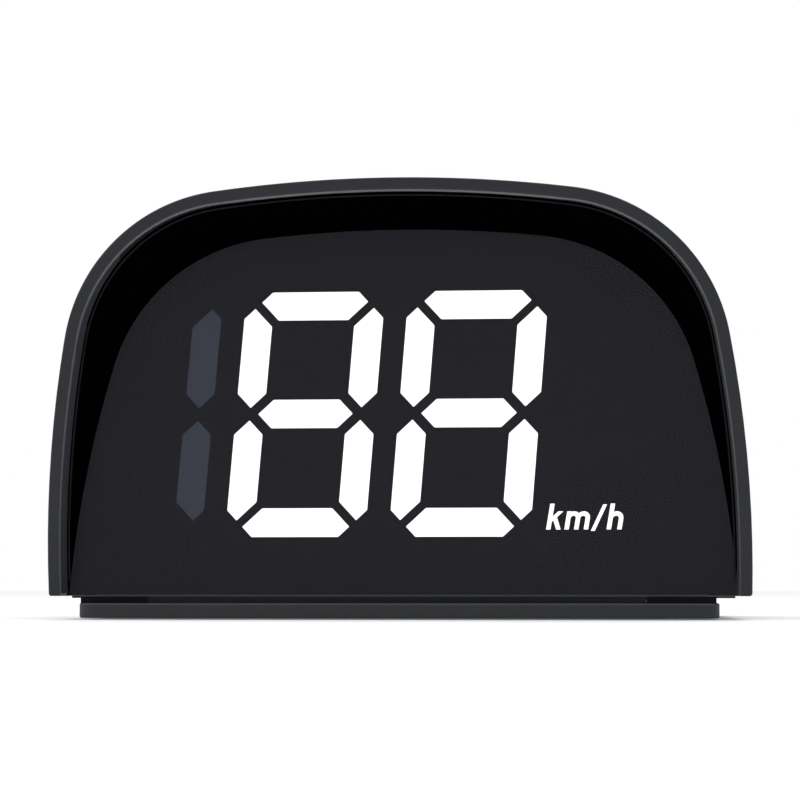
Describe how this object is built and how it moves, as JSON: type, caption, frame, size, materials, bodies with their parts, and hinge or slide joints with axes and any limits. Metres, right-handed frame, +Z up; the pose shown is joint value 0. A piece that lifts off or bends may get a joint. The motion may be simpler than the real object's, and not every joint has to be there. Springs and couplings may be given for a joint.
{
  "type": "solar-charged dashboard speed display",
  "caption": "Small arched dashboard speed display with hooded segment digits, a solar roof panel, rear controls and a tilting adhesive base.",
  "frame": {"origin": "centre of the adhesive pad's lower face in X, middle of the overall depth in Y, on the surface the unit stands on", "axes": "+X to the reader's right, -Y out of the display towards the reader, +Z up"},
  "size_m": [0.09, 0.06, 0.0557],
  "materials": {
    "hood_plastic": "fine satin grain",
    "black_plastic": "matt",
    "cover_plastic": "fine texture",
    "smoked_window": "smoked clear acrylic",
    "mask_film": "printed film",
    "lit_segment": "lit diffuser",
    "unlit_segment": "diffuser",
    "white_plastic": "matt white",
    "green_board": "solder mask",
    "led_package": "phosphor",
    "connector_plastic": "moulded",
    "ribbon_film": "film",
    "foam": "closed-cell foam",
    "battery_foil": "satin foil",
    "lead_jacket": "wire jacket",
    "chip_black": "moulded package",
    "ceramic_patch": "fired ceramic",
    "shield_steel": "tinned",
    "screw_steel": "zinc plated",
    "solar_silicon": "dark blue cell",
    "solar_clear": "clear resin",
    "soft_rubber": "matt rubber",
    "base_plastic": "fine texture",
    "adhesive_foam": "foam tape"
  },
  "bodies": {
    "base": {"base_plate": "base_plastic", "adhesive_pad": "adhesive_foam", "hinge_pin": "screw_steel", "friction_washers": "screw_steel", "rest_strips": "soft_rubber"},
    "head": {"hood_shell": "hood_plastic", "inner_baffle": "black_plastic", "display_window": "smoked_window", "digit_mask": "mask_film", "hundreds_segments": "unlit_segment", "tens_segments": "lit_segment", "units_segments": "lit_segment", "unit_legend": "lit_segment", "light_box": "white_plastic", "led_board": "green_board", "segment_leds": "led_package", "led_board_socket": "connector_plastic", "display_ribbon": "ribbon_film", "battery_foam": "foam", "battery": "battery_foil", "battery_leads": "lead_jacket", "battery_plug": "connector_plastic", "bottom_cover": "cover_plastic", "main_board": "green_board", "main_board_socket": "connector_plastic", "board_screws": "screw_steel", "housing_screws": "screw_steel", "gps_antenna": "ceramic_patch", "gps_module": "shield_steel", "control_chip": "chip_black", "alarm_buzzer": "chip_black", "board_components": "chip_black", "solar_board": "green_board", "solar_cells": "solar_silicon", "solar_cover": "solar_clear", "solar_leads": "lead_jacket", "usb_c_shell": "shield_steel", "usb_c_tongue": "chip_black", "button_switch": "shield_steel", "power_switch": "shield_steel"},
    "button": {"function_button": "soft_rubber", "button_plunger": "connector_plastic"},
    "slider": {"power_slider": "black_plastic"},
    "flap": {"port_flap": "soft_rubber"}
  },
  "joints": [
    {"name": "tilt_hinge", "type": "hinge", "parent": "base", "child": "head", "pos_m": [0, -0.01493, 0.0032], "axis": [1, 0, 0], "range_deg": [0, 20]},
    {"name": "function_press", "type": "slide", "parent": "head", "child": "button", "axis": [0, -1, 0], "range_m": [0, 0.0005], "stiffness_N_per_m": 1500, "springref_m": -0.0006},
    {"name": "power_slide", "type": "slide", "parent": "head", "child": "slider", "axis": [-1, 0, 0], "range_m": [0, 0.002]},
    {"name": "flap_swing", "type": "hinge", "parent": "head", "child": "flap", "pos_m": [-0.02, 0.02925, 0.0074], "axis": [-1, 0, 0], "range_deg": [0, 110]}
  ]
}
